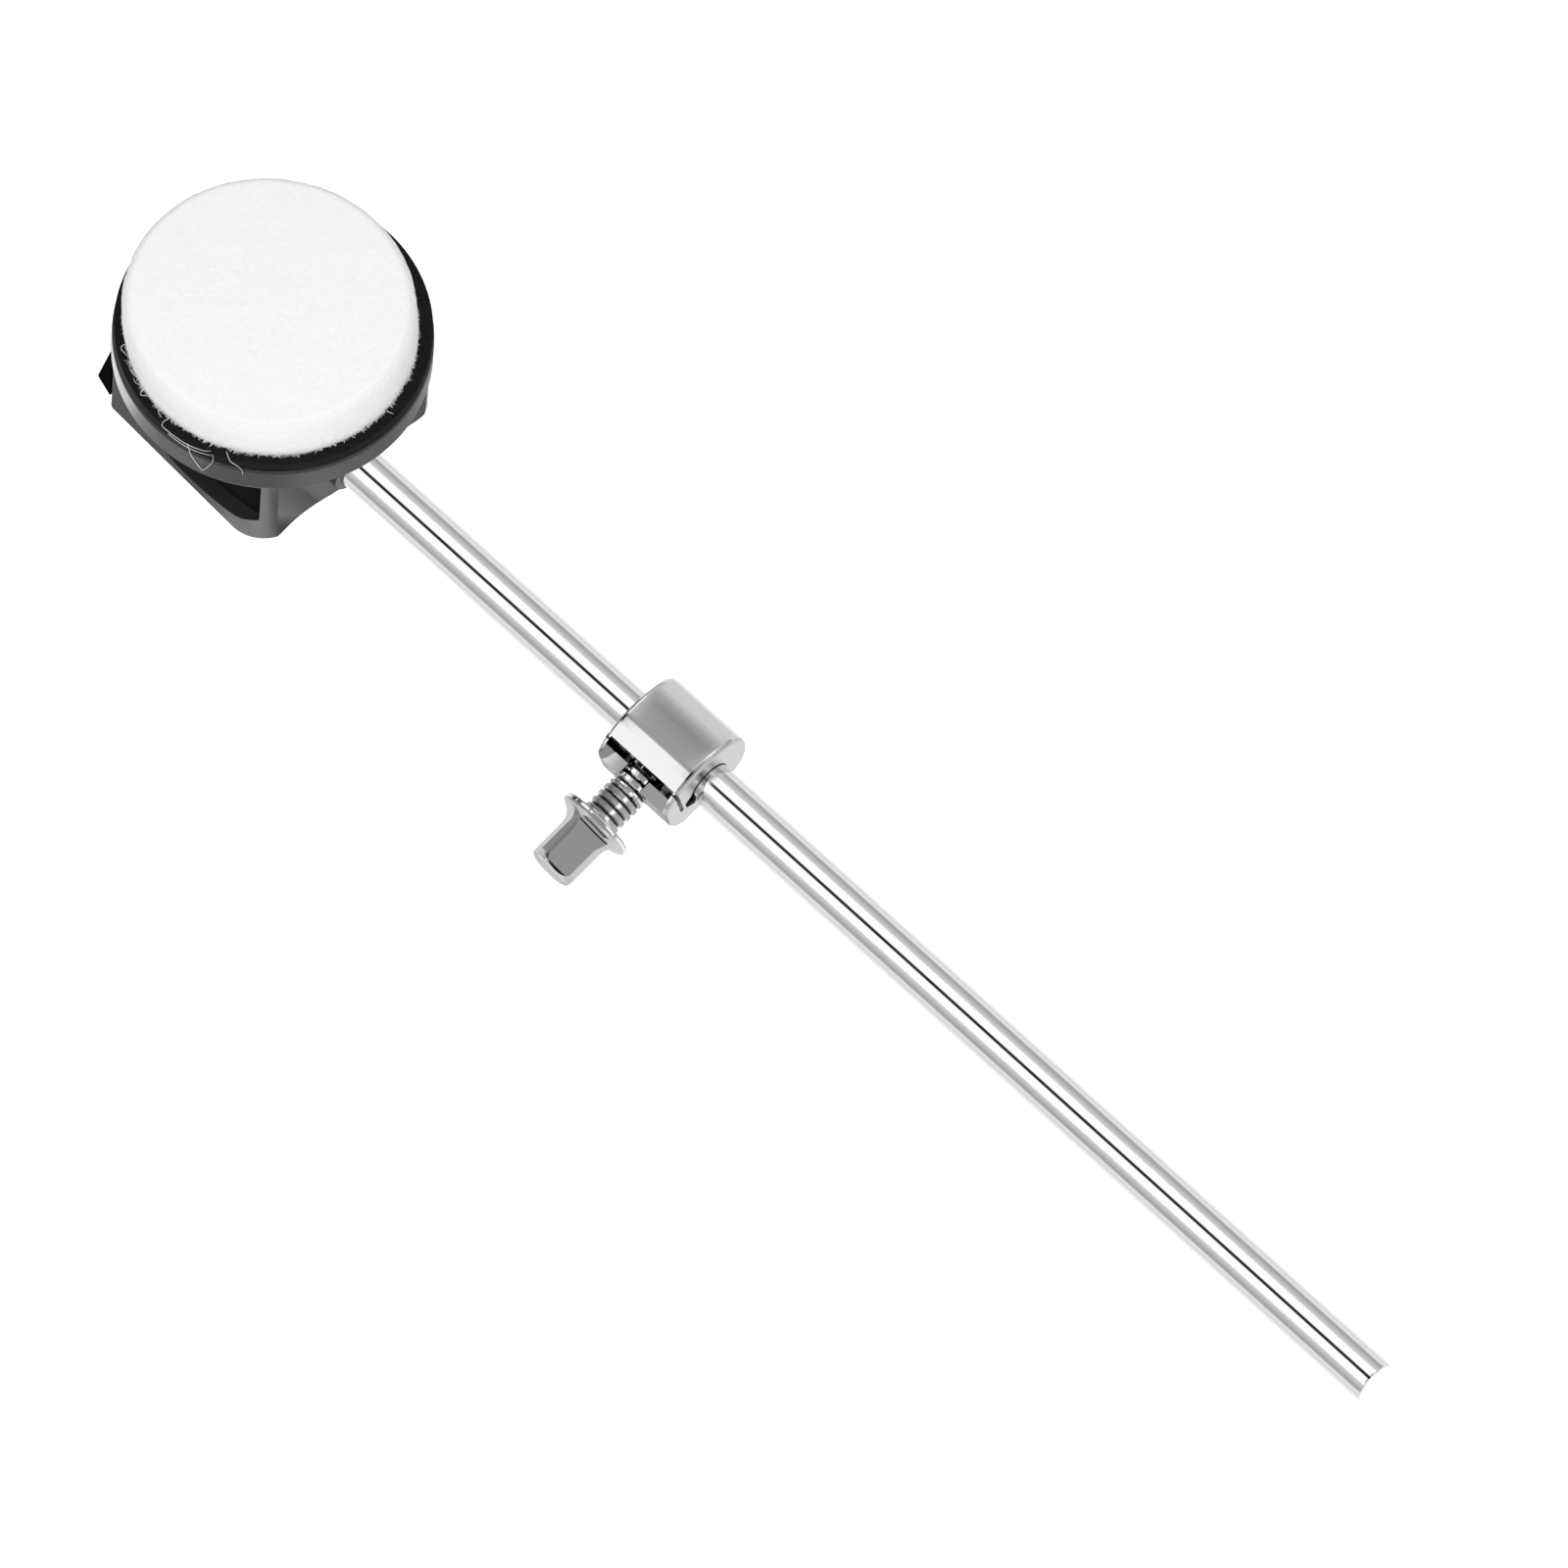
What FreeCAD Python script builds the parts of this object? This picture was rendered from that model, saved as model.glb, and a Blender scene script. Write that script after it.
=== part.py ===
"""Bass drum beater: a felt-faced moulded head on a chromed shaft, with a memory lock and its screw.

Lengths are in millimetres. The shaft lies along X, with its free tip at the origin and the head at the
far end. The felt faces +Z, and the screw of the memory lock points to the +Y side.
"""

import FreeCAD, Part
import Sketcher
import os
import re
from FreeCAD import Placement, Rotation, Vector

SIZES = {
    # Shaft, from the free tip to the stud inside the head.
    "shaft_diameter": 8.0,
    "tip_round": 0.4,
    "tip_to_head": 262.3,
    "stud_diameter": 6.0,
    "stud_length": 18.0,
    "stud_chamfer": 0.6,
    "relief_depth": 0.25,
    "relief_reach": 0.2,
    # Memory lock collar, and how it stands on the shaft.
    "tip_to_collar": 166.05,
    "collar_length": 16.9,
    "collar_back": 9.0,
    "collar_front": 9.6,
    "collar_depth": 5.4,
    "collar_shoulder": 4.2,
    "collar_crown": 7.5,
    "collar_round": 5.6,
    "collar_corner": 3.5,
    "collar_edge": 0.9,
    "collar_running_gap": 0.1,
    "throat_reach": 5.6,
    "throat_width": 1.6,
    "screw_shift": 0.65,
    "nut_slot_start": 6.2,
    "nut_slot_width": 1.0,
    "nut_slot_sink": 0.4,
    "nut_slot_end": 1.0,
    "lip_height": 2.6,
    "lock_tilt_degrees": 14.3,
    # Drum-key screw of the lock, measured outwards from the shaft's axis.
    "thread_diameter": 7.0,
    "thread_pitch": 1.5,
    "thread_depth": 0.55,
    "thread_running_gap": 0.1,
    "point_diameter": 5.0,
    "point_length": 1.0,
    "point_gap": 0.1,
    "bare_thread": 7.8,
    "screw_flange_diameter": 13.8,
    "screw_rim": 1.1,
    "rim_round": 0.45,
    "flare_radius": 4.0,
    "key_round": 9.2,
    "key_square": 7.7,
    "key_length": 7.0,
    "key_dome": 1.6,
    "key_shoulder": 3.2,
    "key_runout": 2.2,
    "key_turn_degrees": 62.0,
    # Moulded head, about the point of the shaft's axis that lies under the felt's centre.
    "flange_diameter": 53.8,
    "flange_thickness": 5.3,
    "flange_height": 12.3,
    "flange_edge": 0.7,
    "back_depth": 6.1,
    "back_edge": 1.2,
    "back_plate": 1.6,
    "tip_reach": 20.2,
    "far_reach": 17.8,
    "tip_side": 21.6,
    "far_side": 19.9,
    "tip_corner": 7.0,
    "far_corner": 0.8,
    "side_wall": 3.0,
    "tip_wall": 4.2,
    "far_wall": 3.2,
    "window_to_tip": 17.6,
    "window_to_far": 14.6,
    "side_bar": 3.0,
    "arch_rise": 4.0,
    "spine_width": 13.6,
    "spine_end": 9.5,
    "flute_radius": 30.0,
    "flute_depth": 1.3,
    "flute_offset": 11.4,
    "boss_diameter": 10.4,
    "boss_stand": 0.8,
    "socket_depth": 8.5,
    "socket_gap": 0.05,
    # Threaded insert moulded into the spine.
    "insert_diameter": 9.6,
    "insert_length": 20.0,
    "insert_gap": 0.05,
    "knurl_depth": 0.5,
    "knurl_width": 1.6,
    # Cap on the far end of the head, thickest low down.
    "cap_thickness": 3.0,
    "cap_lip": 0.4,
    "cap_foot": 1.9,
    "cap_bulge_height": 0.9,
    "cap_round": 1.0,
    "cap_gap": 0.2,
    # Backing disc and felt.
    "backing_inset": 0.25,
    "backing_thickness": 2.4,
    "backing_edge": 0.3,
    "felt_inset": 1.85,
    "felt_thickness": 7.5,
    "felt_edge": 0.7,
    "felt_shift_x": 0.5,
    "felt_shift_y": 0.5,
    # How far every cut runs past the faces that it opens.
    "overrun": 1.0,
}

# How near an edge must lie to a place to count as lying there.
EDGE_TOLERANCE = 0.001

doc = FreeCAD.newDocument("beater")
sheet = doc.addObject("Spreadsheet::Sheet", "Sizes")
for row, (alias, size) in enumerate(SIZES.items(), start=1):
    sheet.set(f"A{row}", alias)
    sheet.set(f"B{row}", str(size))
    sheet.setAlias(f"B{row}", alias)
doc.recompute()


def formula(text):
    """Write a size's name as the sheet's cell, so that formulas stay short to read."""
    return re.sub(r"[a-z_]+", lambda word: f"Sizes.{word[0]}" if word[0] in SIZES else word[0], text)


def new_body(label):
    body = doc.addObject("PartDesign::Body", label)
    body.Label = label
    return body


def place(body, x="0", y="0", z="0", about_x="0"):
    """Set a body at a point, turned about the shaft's axis."""
    body.Placement = Placement(Vector(), Rotation(Vector(1, 0, 0), 1))
    for axis, text in zip("xyz", (x, y, z)):
        body.setExpression(f"Placement.Base.{axis}", formula(text))
    body.setExpression("Placement.Rotation.Angle", formula(about_x))


def new_sketch(body, name, plane, height="0", spin=None):
    """A sketch on one of the body's own planes, lifted along the plane's normal or turned about its upright."""
    sketch = body.newObject("Sketcher::SketchObject", name)
    base = next(item for item in body.Origin.OriginFeatures if item.Role == plane)
    sketch.AttachmentSupport = [(base, "")]
    sketch.MapMode = "FlatFace"
    sketch.setExpression("AttachmentOffset.Base.z", formula(height))
    if spin:
        sketch.AttachmentOffset = Placement(Vector(), Rotation(Vector(0, 1, 0), 1))
        sketch.setExpression("AttachmentOffset.Rotation.Angle", formula(spin))
    return sketch


def bind(sketch, constraint, text):
    """Add a constraint whose value follows a formula."""
    index = sketch.addConstraint(constraint)
    sketch.renameConstraint(index, f"size{index}")
    sketch.setExpression(f"Constraints.size{index}", formula(text))


def number(sketch, text):
    return float(sketch.evalExpression(formula(text)))


def draw_outline(sketch, corners):
    """Draw a closed outline through corners given as pairs of formulas.

    A corner with a third formula starts an arc of that radius to the next corner, bulging outwards.
    """
    points = [Vector(number(sketch, c[0]), number(sketch, c[1]), 0) for c in corners]
    lines = []
    for index, corner in enumerate(corners):
        start = points[index]
        end = points[(index + 1) % len(points)]
        if len(corner) == 2:
            lines.append((sketch.addGeometry(Part.LineSegment(start, end)), 1, 2))
            continue
        radius = number(sketch, corner[2])
        half = (end - start) * 0.5
        outward = Vector(half.y, -half.x, 0).normalize()
        reach = radius - (radius**2 - half.Length**2) ** 0.5
        arc = Part.Arc(start, start + half + outward * reach, end)
        lines.append((sketch.addGeometry(arc), 1, 2))
        bind(sketch, Sketcher.Constraint("Radius", lines[-1][0], radius), corner[2])
    for index, (line, _, last) in enumerate(lines):
        following, first, _ = lines[(index + 1) % len(lines)]
        sketch.addConstraint(Sketcher.Constraint("Coincident", line, last, following, first))
    for (line, first, _), corner, point in zip(lines, corners, points):
        bind(sketch, Sketcher.Constraint("DistanceX", line, first, point.x), corner[0])
        bind(sketch, Sketcher.Constraint("DistanceY", line, first, point.y), corner[1])


def draw_circle(sketch, radius, x="0", y="0"):
    centre = Vector(number(sketch, x), number(sketch, y), 0)
    size = number(sketch, radius)
    circle = sketch.addGeometry(Part.Circle(centre, Vector(0, 0, 1), size))
    bind(sketch, Sketcher.Constraint("Radius", circle, size), radius)
    bind(sketch, Sketcher.Constraint("DistanceX", circle, 3, centre.x), x)
    bind(sketch, Sketcher.Constraint("DistanceY", circle, 3, centre.y), y)


def extrude(kind, sketch, length, symmetric=False, reverse=False):
    """Pad or pocket a sketch by a length, and check that a pocket takes material away."""
    body = sketch.getParentGeoFeatureGroup()
    doc.recompute()
    before = body.Shape.Volume if kind == "Pocket" else 0
    feature = body.newObject(f"PartDesign::{kind}", f"{sketch.Name}_{kind}")
    feature.Profile = sketch
    feature.SideType = "Symmetric" if symmetric else "One side"
    feature.Reversed = reverse
    feature.setExpression("Length", formula(length))
    doc.recompute()
    if kind == "Pocket" and body.Shape.Volume >= before:
        raise RuntimeError(f"{feature.Name} cuts nothing")
    return feature


def revolve(kind, sketch, axis):
    body = sketch.getParentGeoFeatureGroup()
    feature = body.newObject(f"PartDesign::{kind}", f"{sketch.Name}_{kind}")
    feature.Profile = sketch
    feature.ReferenceAxis = (sketch, [axis])
    doc.recompute()
    return feature


def round_edges(feature, radius, chosen):
    """Round the edges of a feature that a test picks by the edge and its middle point."""
    body = feature.getParentGeoFeatureGroup()
    names = []
    for index, edge in enumerate(feature.Shape.Edges, start=1):
        middle = edge.valueAt((edge.FirstParameter + edge.LastParameter) / 2)
        if chosen(edge, middle):
            names.append(f"Edge{index}")
    fillet = body.newObject("PartDesign::Fillet", f"{feature.Name}_round")
    fillet.Base = (feature, names)
    fillet.setExpression("Radius", formula(radius))
    doc.recompute()
    return fillet


def same(a, b):
    return abs(a - b) < EDGE_TOLERANCE


def make_shaft():
    """The rod: a rounded tip, a shallow relief under the lock and a stud that fills the insert."""
    body = new_body("shaft")
    radius = "shaft_diameter / 2"
    relief = f"{radius} - relief_depth"
    relief_start = "tip_to_collar - collar_length / 2 - relief_reach"
    relief_end = "tip_to_collar + collar_length / 2 - relief_reach"
    shoulder = "tip_to_head - tip_reach - boss_stand + socket_depth"
    stud = "stud_diameter / 2"
    sketch = new_sketch(body, "shaft_profile", "XY_Plane")
    draw_outline(
        sketch,
        [
            ("0", "0"),
            (f"{shoulder} + stud_length", "0"),
            (f"{shoulder} + stud_length", f"{stud} - stud_chamfer"),
            (f"{shoulder} + stud_length - stud_chamfer", stud),
            (shoulder, stud),
            (shoulder, radius),
            (relief_end, radius),
            (relief_end, relief),
            (relief_start, relief),
            (relief_start, radius),
            ("tip_round", radius, "tip_round"),
            ("0", f"{radius} - tip_round"),
        ],
    )
    revolve("Revolution", sketch, "H_Axis")
    return body


def make_collar():
    """The memory lock: a domed block with a long bore, and a slot for the nut that the screw runs in."""
    body = new_body("lock_collar")
    place(body, x="tip_to_collar", about_x="0 - lock_tilt_degrees")
    half_width = "((collar_back + collar_front) / 2)"
    bore = "(shaft_diameter / 2 + collar_running_gap)"
    rise = "(collar_crown - collar_shoulder)"
    dome = f"({half_width} ^ 2 + {rise} ^ 2) / (2 * {rise})"

    def far_corner(_, middle):
        return same(middle.x, 0) and same(middle.y, -SIZES["collar_back"])

    def near_corner(_, middle):
        return same(middle.x, 0) and same(middle.y, SIZES["collar_front"])

    def end_rim(_, middle):
        return same(abs(middle.x), SIZES["collar_length"] / 2)

    outline = new_sketch(body, "collar_outline", "YZ_Plane")
    draw_outline(
        outline,
        [
            ("0 - collar_back", "0 - collar_depth"),
            ("collar_front", "0 - collar_depth"),
            ("collar_front", "collar_shoulder", dome),
            ("0 - collar_back", "collar_shoulder"),
        ],
    )
    block = extrude("Pad", outline, "collar_length", symmetric=True)
    far = round_edges(block, "collar_round", far_corner)
    near = round_edges(far, "collar_corner", near_corner)
    round_edges(near, "collar_edge", end_rim)

    round_bore = new_sketch(body, "collar_bore", "YZ_Plane")
    draw_circle(round_bore, bore)
    extrude("Pocket", round_bore, "collar_length + overrun", symmetric=True)

    throat = new_sketch(body, "collar_throat", "YZ_Plane")
    draw_outline(
        throat,
        [
            ("0", f"0 - {bore}"),
            ("throat_reach", "0 - throat_width / 2"),
            ("throat_reach", "throat_width / 2"),
            ("0", bore),
        ],
    )
    extrude("Pocket", throat, "collar_length + overrun", symmetric=True)

    nut_slot = new_sketch(body, "collar_nut_slot", "YZ_Plane")
    draw_outline(
        nut_slot,
        [
            ("nut_slot_start", "0 - nut_slot_sink"),
            ("nut_slot_start + nut_slot_width", "0 - nut_slot_sink"),
            ("nut_slot_start + nut_slot_width", "lip_height"),
            ("collar_front + overrun", "lip_height"),
            ("collar_front + overrun", "collar_crown"),
            ("nut_slot_start", "collar_crown"),
        ],
    )
    extrude("Pocket", nut_slot, "collar_length - nut_slot_end * 2", symmetric=True)

    screw_hole = new_sketch(body, "collar_screw_hole", "XZ_Plane")
    draw_circle(screw_hole, "thread_diameter / 2 + thread_running_gap", x="screw_shift")
    extrude("Pocket", screw_hole, "collar_front + overrun")
    return body


def make_screw():
    """The drum-key screw: a point, a thread, a flange flaring into the key's square and a domed end."""
    body = new_body("lock_screw")
    place(body, x="tip_to_collar + screw_shift", about_x="0 - 90 - lock_tilt_degrees")
    tip = "shaft_diameter / 2 + point_gap"
    thread = "thread_diameter / 2"
    point = "point_diameter / 2"
    flange = "screw_flange_diameter / 2"
    neck = "key_round / 2"
    thread_start = f"{tip} + point_length"
    rise = f"({thread_start} + {thread} - {point})"
    flange_back = "collar_front + bare_thread"
    flare = f"sqrt(flare_radius ^ 2 - ({neck} + flare_radius - {flange}) ^ 2)"
    neck_start = f"{flange_back} + screw_rim + {flare}"
    end = f"{neck_start} + key_length"

    profile = new_sketch(body, "screw_profile", "XZ_Plane")
    draw_outline(
        profile,
        [
            ("0", tip),
            (point, tip),
            (point, thread_start),
            (thread, rise),
            (thread, flange_back),
            (flange, flange_back),
            (flange, neck_start),
            (neck, neck_start),
            (neck, end),
            ("0", end),
        ],
    )
    turned = revolve("Revolution", profile, "V_Axis")
    top = turned.Shape.BoundBox.ZMax

    def end_rim(edge, middle):
        return same(middle.z, top) and edge.Curve.TypeId == "Part::GeomCircle"

    round_edges(turned, "key_dome", end_rim)

    scoop = new_sketch(body, "screw_flare", "XZ_Plane")
    draw_circle(scoop, "flare_radius", x=f"{neck} + flare_radius", y=neck_start)
    flared = revolve("Groove", scoop, "V_Axis")

    def flange_rim(edge, _):
        round_edge = edge.Curve.TypeId == "Part::GeomCircle"
        return round_edge and same(edge.Curve.Radius, SIZES["screw_flange_diameter"] / 2)

    round_edges(flared, "rim_round", flange_rim)

    half = "key_square / 2"
    foot = f"{neck_start} - key_shoulder"
    clear = "screw_flange_diameter"
    beyond = f"{end} + overrun"
    for name, spin in (("screw_flats", "key_turn_degrees"), ("screw_cross_flats", "key_turn_degrees + 90")):
        flats = new_sketch(body, name, "XZ_Plane", spin=spin)
        draw_outline(
            flats,
            [
                (half, f"{foot} + key_runout", "key_runout"),
                (f"{half} + key_runout", foot),
                (clear, foot),
                (clear, beyond),
                (half, beyond),
            ],
        )
        draw_outline(
            flats,
            [
                (f"0 - {half} - key_runout", foot, "key_runout"),
                (f"0 - {half}", f"{foot} + key_runout"),
                (f"0 - {half}", beyond),
                (f"0 - {clear}", beyond),
                (f"0 - {clear}", foot),
            ],
        )
        extrude("Pocket", flats, f"{clear} * 2", symmetric=True)

    valley = new_sketch(body, "screw_valley", "XZ_Plane")
    draw_outline(
        valley,
        [
            (f"{thread} - thread_depth", f"{rise} + thread_pitch / 2"),
            (f"{thread} + thread_depth", rise),
            (f"{thread} + thread_depth", f"{rise} + thread_pitch"),
        ],
    )
    groove = revolve("Groove", valley, "V_Axis")
    rows = body.newObject("PartDesign::LinearPattern", "screw_thread")
    rows.Originals = [groove]
    rows.Direction = (valley, ["V_Axis"])
    ridges = f"floor(({flange_back} - {rise}) / thread_pitch)"
    rows.setExpression("Occurrences", formula(ridges))
    rows.setExpression("Length", formula(f"thread_pitch * ({ridges} - 1)"))
    body.Tip = rows
    doc.recompute()
    return body


def make_head():
    """The moulded head: a round flange, a hollow body with side windows and a spine for the shaft."""
    body = new_body("head_frame")
    place(body, x="tip_to_head")
    body_height = "(flange_height + back_depth)"
    back = "0 - back_depth"

    def upright(edge):
        return same(edge.BoundBox.ZLength, SIZES["flange_height"] + SIZES["back_depth"])

    def tip_corner(edge, middle):
        return upright(edge) and middle.x < 0

    def far_corner(edge, middle):
        return upright(edge) and same(middle.x, SIZES["far_reach"])

    def back_rim(_, middle):
        return same(middle.z, -SIZES["back_depth"])

    def flange_rim(_, middle):
        reach = (middle.x**2 + middle.y**2) ** 0.5
        return same(reach, SIZES["flange_diameter"] / 2) and middle.z > SIZES["flange_height"]

    outline = new_sketch(body, "head_outline", "XY_Plane", height=back)
    draw_outline(
        outline,
        [
            ("0 - tip_reach", "0 - tip_side"),
            ("far_reach", "0 - far_side"),
            ("far_reach", "far_side"),
            ("0 - tip_reach", "tip_side"),
        ],
    )
    block = extrude("Pad", outline, body_height)
    near = round_edges(block, "tip_corner", tip_corner)
    far = round_edges(near, "far_corner", far_corner)
    round_edges(far, "back_edge", back_rim)

    hollow = new_sketch(body, "head_hollow", "XY_Plane", height="flange_height")
    draw_outline(
        hollow,
        [
            ("tip_wall - tip_reach", "side_wall - tip_side"),
            ("far_reach - far_wall", "side_wall - far_side"),
            ("far_reach - far_wall", "far_side - side_wall"),
            ("tip_wall - tip_reach", "tip_side - side_wall"),
        ],
    )
    extrude("Pocket", hollow, f"{body_height} - back_plate")

    sill_end = "side_bar - back_depth + arch_rise"
    window_half = "((window_to_tip + window_to_far) / 2)"
    arch = f"({window_half} ^ 2 + arch_rise ^ 2) / (2 * arch_rise)"
    windows = new_sketch(body, "side_windows", "XZ_Plane")
    draw_outline(
        windows,
        [
            ("0 - window_to_tip", sill_end, arch),
            ("window_to_far", sill_end),
            ("window_to_far", "flange_height"),
            ("0 - window_to_tip", "flange_height"),
        ],
    )
    extrude("Pocket", windows, "tip_side * 2 + overrun", symmetric=True)

    flange = new_sketch(body, "flange_disc", "XY_Plane", height="flange_height")
    draw_circle(flange, "flange_diameter / 2")
    disc = extrude("Pad", flange, "flange_thickness")
    round_edges(disc, "flange_edge", flange_rim)

    spine = new_sketch(body, "spine_outline", "XY_Plane", height=back)
    draw_outline(
        spine,
        [
            ("tip_wall - tip_reach - back_edge", "0 - spine_width / 2"),
            ("spine_end", "0 - spine_width / 2"),
            ("spine_end", "spine_width / 2"),
            ("tip_wall - tip_reach - back_edge", "spine_width / 2"),
        ],
    )
    extrude("Pad", spine, body_height)

    flutes = new_sketch(body, "tip_flutes", "XY_Plane", height="flange_height")
    for side in ("0 - flute_offset", "flute_offset"):
        draw_circle(flutes, "flute_radius", x="flute_depth - tip_reach - flute_radius", y=side)
    extrude("Pocket", flutes, f"{body_height} + overrun")

    boss = new_sketch(body, "socket_boss", "YZ_Plane", height="0 - tip_reach - boss_stand")
    draw_circle(boss, "boss_diameter / 2")
    extrude("Pad", boss, "boss_stand + tip_wall")

    socket = new_sketch(body, "shaft_socket", "YZ_Plane", height="0 - tip_reach - boss_stand - overrun")
    draw_circle(socket, "shaft_diameter / 2 + socket_gap")
    extrude("Pocket", socket, "socket_depth + overrun", reverse=True)

    seat = new_sketch(body, "insert_seat", "YZ_Plane", height="socket_depth - tip_reach - boss_stand")
    draw_circle(seat, "insert_diameter / 2 + insert_gap")
    extrude("Pocket", seat, "insert_length", reverse=True)
    return body


def make_insert():
    """The brass insert: a tube with turned grooves that key it into the plastic."""
    body = new_body("socket_insert")
    place(body, x="tip_to_head - tip_reach - boss_stand + socket_depth")
    outer = "insert_diameter / 2"
    bore = "stud_diameter / 2 + insert_gap"
    sketch = new_sketch(body, "insert_profile", "XY_Plane")
    draw_outline(
        sketch,
        [("0", bore), ("insert_length", bore), ("insert_length", outer), ("0", outer)],
    )
    revolve("Revolution", sketch, "H_Axis")
    grooves = new_sketch(body, "insert_grooves", "XY_Plane")
    for middle in ("insert_length / 3", "insert_length * 2 / 3"):
        draw_outline(
            grooves,
            [
                (f"{middle} - knurl_width / 2", f"{outer} - knurl_depth"),
                (f"{middle} + knurl_width / 2", f"{outer} - knurl_depth"),
                (f"{middle} + knurl_width / 2", f"{outer} + knurl_depth"),
                (f"{middle} - knurl_width / 2", f"{outer} + knurl_depth"),
            ],
        )
    revolve("Groove", grooves, "H_Axis")
    return body


def make_cap():
    """The cap on the far end of the head: a wedge, thin under the flange and thick near the back."""
    body = new_body("end_cap")
    place(body, x="tip_to_head + far_reach")
    profile = new_sketch(body, "cap_profile", "XZ_Plane")
    draw_outline(
        profile,
        [
            ("0", "0 - cap_foot"),
            ("cap_thickness", "cap_bulge_height"),
            ("cap_lip", "flange_height - cap_gap"),
            ("0", "flange_height - cap_gap"),
        ],
    )
    wedge = extrude("Pad", profile, "far_side * 2", symmetric=True)

    def bulge(_, middle):
        return same(middle.x, SIZES["cap_thickness"])

    round_edges(wedge, "cap_round", bulge)
    return body


def make_disc(label, diameter, thickness, edge, height, shift_x="0", shift_y="0"):
    """A round pad on the head, with its front edge rounded."""
    body = new_body(label)
    place(body, x=f"tip_to_head + {shift_x}", y=shift_y, z=height)
    sketch = new_sketch(body, f"{label}_outline", "XY_Plane")
    draw_circle(sketch, f"{diameter} / 2")
    disc = extrude("Pad", sketch, thickness)

    def front_rim(_, middle):
        return same(middle.z, SIZES[thickness])

    round_edges(disc, edge, front_rim)
    return body


backing_height = "flange_height + flange_thickness"
backing_diameter = "(flange_diameter - backing_inset * 2)"
felt_diameter = f"({backing_diameter} - felt_inset * 2)"
bodies = [
    make_shaft(),
    make_collar(),
    make_screw(),
    make_head(),
    make_insert(),
    make_cap(),
    make_disc("pad_backing", backing_diameter, "backing_thickness", "backing_edge", backing_height),
    make_disc(
        "felt_pad",
        felt_diameter,
        "felt_thickness",
        "felt_edge",
        f"{backing_height} + backing_thickness",
        shift_x="felt_shift_x",
        shift_y="felt_shift_y",
    ),
]
doc.recompute()

for item in doc.Objects:
    if "Invalid" in item.State or "Error" in item.State:
        raise RuntimeError(f"{item.Label} failed to build")
for body in bodies:
    if body.Shape.isNull() or not body.Shape.isValid() or len(body.Shape.Solids) != 1:
        raise RuntimeError(f"{body.Label} isn't one valid solid")

os.makedirs("parts", exist_ok=True)
for body in bodies:
    body.Shape.exportStep(f"parts/{body.Label}.step")
    box = body.Shape.BoundBox
    print(f"{body.Label}: {body.Shape.Volume:.1f} mm3, z {box.ZMin:.2f} to {box.ZMax:.2f}")
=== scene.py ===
"""Looks of the bass drum beater: felt, backing, moulded head, chromed shaft and memory lock.

Lengths are in metres, in the frame of the CAD model: the shaft lies along X, the felt faces +Z.
"""

import math
import random

import bpy
from mathutils import Matrix, Vector, noise


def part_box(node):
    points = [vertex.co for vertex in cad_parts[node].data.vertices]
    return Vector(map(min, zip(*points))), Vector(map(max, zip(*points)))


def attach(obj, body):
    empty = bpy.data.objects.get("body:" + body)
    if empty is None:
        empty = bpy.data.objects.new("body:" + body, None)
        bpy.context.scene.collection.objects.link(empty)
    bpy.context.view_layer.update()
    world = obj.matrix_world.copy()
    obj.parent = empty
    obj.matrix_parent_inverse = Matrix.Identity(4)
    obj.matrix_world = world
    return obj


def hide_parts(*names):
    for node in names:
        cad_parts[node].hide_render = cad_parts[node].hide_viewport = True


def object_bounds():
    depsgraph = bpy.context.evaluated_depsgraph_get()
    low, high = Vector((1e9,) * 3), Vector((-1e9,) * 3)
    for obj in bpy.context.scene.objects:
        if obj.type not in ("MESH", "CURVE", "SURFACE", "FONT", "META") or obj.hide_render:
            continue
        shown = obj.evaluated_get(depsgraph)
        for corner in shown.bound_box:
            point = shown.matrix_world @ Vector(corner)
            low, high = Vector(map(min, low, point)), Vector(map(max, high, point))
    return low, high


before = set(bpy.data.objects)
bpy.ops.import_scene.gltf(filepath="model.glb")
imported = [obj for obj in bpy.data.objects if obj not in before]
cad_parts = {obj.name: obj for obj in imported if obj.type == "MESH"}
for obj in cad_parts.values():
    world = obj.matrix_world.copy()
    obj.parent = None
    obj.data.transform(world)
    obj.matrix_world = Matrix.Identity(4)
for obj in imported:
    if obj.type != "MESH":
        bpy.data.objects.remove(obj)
cad_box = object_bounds()

MM = 0.001
X_AXIS = Vector((1.0, 0.0, 0.0))
Y_AXIS = Vector((0.0, 1.0, 0.0))
Z_AXIS = Vector((0.0, 0.0, 1.0))
SQUARE = ((-1, -1), (1, -1), (1, 1), (-1, 1))

# View of the photograph: the camera's axes, the point that it looks at and the width of its frame.
VIEW_RIGHT = Vector((-0.7003, -0.7129, 0.0360)).normalized()
VIEW_BACK = VIEW_RIGHT.cross(Vector((0.6314, -0.5952, 0.4970))).normalized()
VIEW_UP = VIEW_BACK.cross(VIEW_RIGHT)
VIEW_POINT = Vector((160.4, -21.6, -29.9)) * MM
VIEW_WIDTH = 261.4 * MM
VIEW_DISTANCE = 12.0
VIEW_END = 60.0
SENSOR_WIDTH = 36.0

# Floor: how far it lies under the part, its size, its shade and its glow towards the camera.
FLOOR_DROP = 0.10
FLOOR_SIZE = 6.0
FLOOR_SHADE = 0.9
FLOOR_ROUGH = 0.9
FLOOR_GLOW = 0.6

# Where the head's axis meets the shaft's, and the lock's screw, which points outwards along its axis.
HEAD_PLACE = Vector((262.3, 0.0, 0.0)) * MM
SCREW_PLACE = Vector((166.7, 0.0, 0.0)) * MM
SCREW_AXIS = Vector((0.0, 0.969, -0.247)).normalized()
LOCK_UP = X_AXIS.cross(SCREW_AXIS)

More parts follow.
